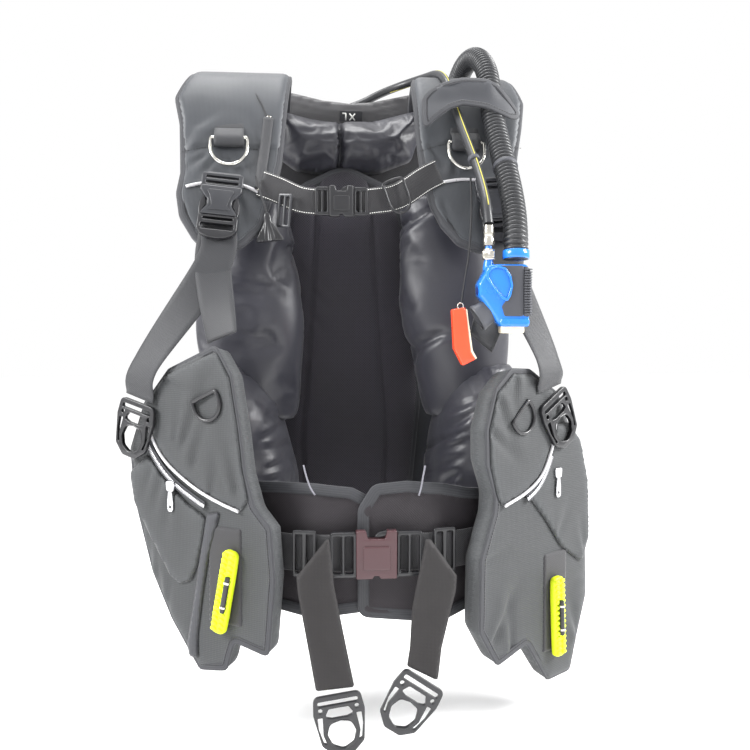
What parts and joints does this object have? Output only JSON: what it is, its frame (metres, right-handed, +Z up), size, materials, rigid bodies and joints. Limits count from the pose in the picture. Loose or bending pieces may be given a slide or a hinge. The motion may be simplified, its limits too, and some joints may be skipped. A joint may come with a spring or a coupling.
{
  "type": "buoyancy compensator vest",
  "caption": "Jacket-style buoyancy vest: padded shoulders, side air cells, cummerbund, weight pockets, inflator on a hose, buckles and a band that clamps a tank",
  "frame": {"origin": "centre of the tank band, on the tank's axis", "axes": "+Z up along the tank, -Y towards the wearer and the front of the vest, +X the wearer's left"},
  "size_m": [0.6939, 0.5975, 1.0016],
  "materials": {
    "pack_cloth": "coarse woven nylon, matt",
    "panel_cloth": "woven nylon with a coated back, matt",
    "cell_cloth": "fine coated nylon, soft sheen",
    "mesh_cloth": "air mesh over foam, matt",
    "belt_cloth": "ribbed twill, matt",
    "webbing": "woven nylon webbing, slight sheen",
    "black_plastic": "moulded acetal, satin",
    "steel": "polished stainless wire",
    "yellow_grip": "moulded soft rubber",
    "blue_plastic": "moulded, gloss",
    "grey_rubber": "moulded, matt",
    "cream_plastic": "moulded, satin",
    "hose_rubber": "extruded, satin",
    "orange_plastic": "moulded, gloss",
    "valve_metal": "plated brass",
    "cord": "braided polyester cord",
    "piping": "retroreflective tape",
    "thread": "polyester sewing thread",
    "zip_metal": "blackened zinc"
  },
  "bodies": {
    "root": {"backplate": "black_plastic", "carry_handle": "black_plastic", "tank_band": "webbing", "cam_buckle_frame": "black_plastic", "air_cell_back": "pack_cloth", "air_cell_collar": "mesh_cloth", "air_cell_right": "cell_cloth", "air_cell_left": "cell_cloth", "back_pad": "mesh_cloth", "shoulder_panel_right": "panel_cloth", "shoulder_panel_left": "panel_cloth", "hose_flap": "panel_cloth", "cummerbund_right": "belt_cloth", "cummerbund_left": "belt_cloth", "pocket_right": "pack_cloth", "pocket_left": "pack_cloth", "lower_strap_right": "webbing", "lower_strap_left": "webbing", "shoulder_buckle_sockets": "black_plastic", "webbing_tabs": "webbing", "chest_straps": "webbing", "chest_buckle_socket": "black_plastic", "waist_belt": "webbing", "waist_buckle_socket": "black_plastic", "corrugated_hose": "hose_rubber", "hose_elbow": "black_plastic", "lp_hose": "hose_rubber", "inflator_body": "blue_plastic", "inflator_grip": "grey_rubber", "inflator_cover": "blue_plastic", "mouthpiece": "grey_rubber", "hose_ferrules": "valve_metal", "whistle_cord": "cord", "rear_dump_valve": "black_plastic"},
    "cam_lever": {"cam_buckle_lever": "black_plastic"},
    "chest_plug": {"chest_buckle_plug": "black_plastic"},
    "waist_plug": {"waist_buckle_plug": "black_plastic", "waist_tail_left": "webbing"},
    "waist_pull_right": {"waist_ring_right": "black_plastic"},
    "waist_pull_left": {"waist_ring_left": "black_plastic"},
    "strap_pull_right": {"strap_ring_right": "black_plastic"},
    "strap_pull_left": {"strap_ring_left": "black_plastic"},
    "pocket_d_right": {"pocket_d_ring_right": "black_plastic"},
    "pocket_d_left": {"pocket_d_ring_left": "black_plastic"},
    "shoulder_d_right": {"shoulder_d_ring_right": "steel"},
    "shoulder_d_left": {"shoulder_d_ring_left": "steel"},
    "pouch_right": {"weight_pouch_right": "pack_cloth", "pouch_handle_right": "yellow_grip"},
    "pouch_left": {"weight_pouch_left": "pack_cloth", "pouch_handle_left": "yellow_grip"},
    "zip_right": {"zip_slider_right": "zip_metal"},
    "zip_left": {"zip_slider_left": "zip_metal"},
    "shoulder_plug_right": {"shoulder_buckle_plug_right": "black_plastic"},
    "shoulder_plug_left": {"shoulder_buckle_plug_left": "black_plastic"},
    "side_button": {"inflate_button": "blue_plastic"},
    "bottom_button": {"deflate_button": "cream_plastic"},
    "hose_sleeve": {"qd_fitting": "valve_metal"},
    "whistle": {"whistle": "orange_plastic"},
    "dump_pull": {"dump_knob": "grey_rubber", "dump_cord": "cord"}
  },
  "joints": [
    {"name": "cam_lever_swing", "type": "hinge", "parent": "root", "child": "cam_lever", "pos_m": [-0.026, 0.105, 0], "axis": [0, 0, 1], "range_deg": [0, 110]},
    {"name": "chest_buckle_release", "type": "slide", "parent": "root", "child": "chest_plug", "axis": [1, 0, 0], "range_m": [0, 0.024]},
    {"name": "waist_buckle_release", "type": "slide", "parent": "root", "child": "waist_plug", "axis": [1, 0, 0], "range_m": [0, 0.035]},
    {"name": "waist_pull_right_swing", "type": "hinge", "parent": "root", "child": "waist_pull_right", "pos_m": [-0.054, -0.485, -0.358], "axis": [-0.9903, 0, -0.1392], "range_deg": [-70, 80]},
    {"name": "waist_pull_left_swing", "type": "hinge", "parent": "waist_plug", "child": "waist_pull_left", "pos_m": [0.06, -0.485, -0.343], "axis": [-0.829, 0, 0.5592], "range_deg": [-70, 80]},
    {"name": "strap_pull_right_swing", "type": "hinge", "parent": "root", "child": "strap_pull_right", "pos_m": [-0.32128, -0.34755, 0.014], "axis": [-0.785, 0.5703, 0.2419], "range_deg": [0, 100]},
    {"name": "strap_pull_left_swing", "type": "hinge", "parent": "root", "child": "strap_pull_left", "pos_m": [0.25485, -0.40163, 0.022], "axis": [-0.7076, -0.5141, -0.4848], "range_deg": [0, 100]},
    {"name": "pocket_d_right_swing", "type": "hinge", "parent": "root", "child": "pocket_d_right", "pos_m": [-0.22685, -0.41492, 0.03], "axis": [-0.7391, 0.537, -0.4067], "range_deg": [0, 100]},
    {"name": "pocket_d_left_swing", "type": "hinge", "parent": "root", "child": "pocket_d_left", "pos_m": [0.19925, -0.44078, 0.008], "axis": [-0.6012, -0.4368, -0.6691], "range_deg": [0, 100]},
    {"name": "shoulder_d_right_swing", "type": "hinge", "parent": "root", "child": "shoulder_d_right", "pos_m": [-0.196, -0.28982, 0.40303], "axis": [-1, 0, 0], "range_deg": [0, 90]},
    {"name": "shoulder_d_left_swing", "type": "hinge", "parent": "root", "child": "shoulder_d_left", "pos_m": [0.152, -0.28982, 0.40303], "axis": [-1, 0, 0], "range_deg": [0, 8]},
    {"name": "pouch_right_pull", "type": "slide", "parent": "root", "child": "pouch_right", "axis": [-0.5878, -0.809, 0], "range_m": [0, 0.055]},
    {"name": "pouch_left_pull", "type": "slide", "parent": "root", "child": "pouch_left", "axis": [0.5878, -0.809, 0], "range_m": [0, 0.055]},
    {"name": "zip_right_travel", "type": "slide", "parent": "root", "child": "zip_right", "axis": [0.6715, -0.4879, -0.5578], "range_m": [-0.03, 0.045]},
    {"name": "zip_left_travel", "type": "slide", "parent": "root", "child": "zip_left", "axis": [-0.6148, -0.4467, -0.65], "range_m": [-0.015, 0.04]},
    {"name": "shoulder_buckle_right_release", "type": "slide", "parent": "root", "child": "shoulder_plug_right", "axis": [-0.1045, -0.3238, -0.9403], "range_m": [0, 0.028]},
    {"name": "shoulder_buckle_left_release", "type": "slide", "parent": "root", "child": "shoulder_plug_left", "axis": [0.0872, -0.3243, -0.9419], "range_m": [0, 0.028]},
    {"name": "inflate_button_press", "type": "slide", "parent": "root", "child": "side_button", "axis": [1, 0, 0], "range_m": [0, 0.003], "stiffness_N_per_m": 600, "springref_m": -0.002},
    {"name": "deflate_button_press", "type": "slide", "parent": "root", "child": "bottom_button", "axis": [0, 0, 1], "range_m": [0, 0.005], "stiffness_N_per_m": 500, "springref_m": -0.003},
    {"name": "hose_sleeve_release", "type": "slide", "parent": "root", "child": "hose_sleeve", "axis": [0, 0, 1], "range_m": [0, 0.005], "stiffness_N_per_m": 500, "springref_m": -0.003},
    {"name": "whistle_swing", "type": "hinge", "parent": "root", "child": "whistle", "pos_m": [0.119, -0.428, 0.146], "axis": [0, 1, 0], "range_deg": [-25, 25]},
    {"name": "dump_pull_travel", "type": "slide", "parent": "root", "child": "dump_pull", "axis": [0, 0, -1], "range_m": [0, 0.018], "stiffness_N_per_m": 200, "springref_m": -0.006}
  ]
}
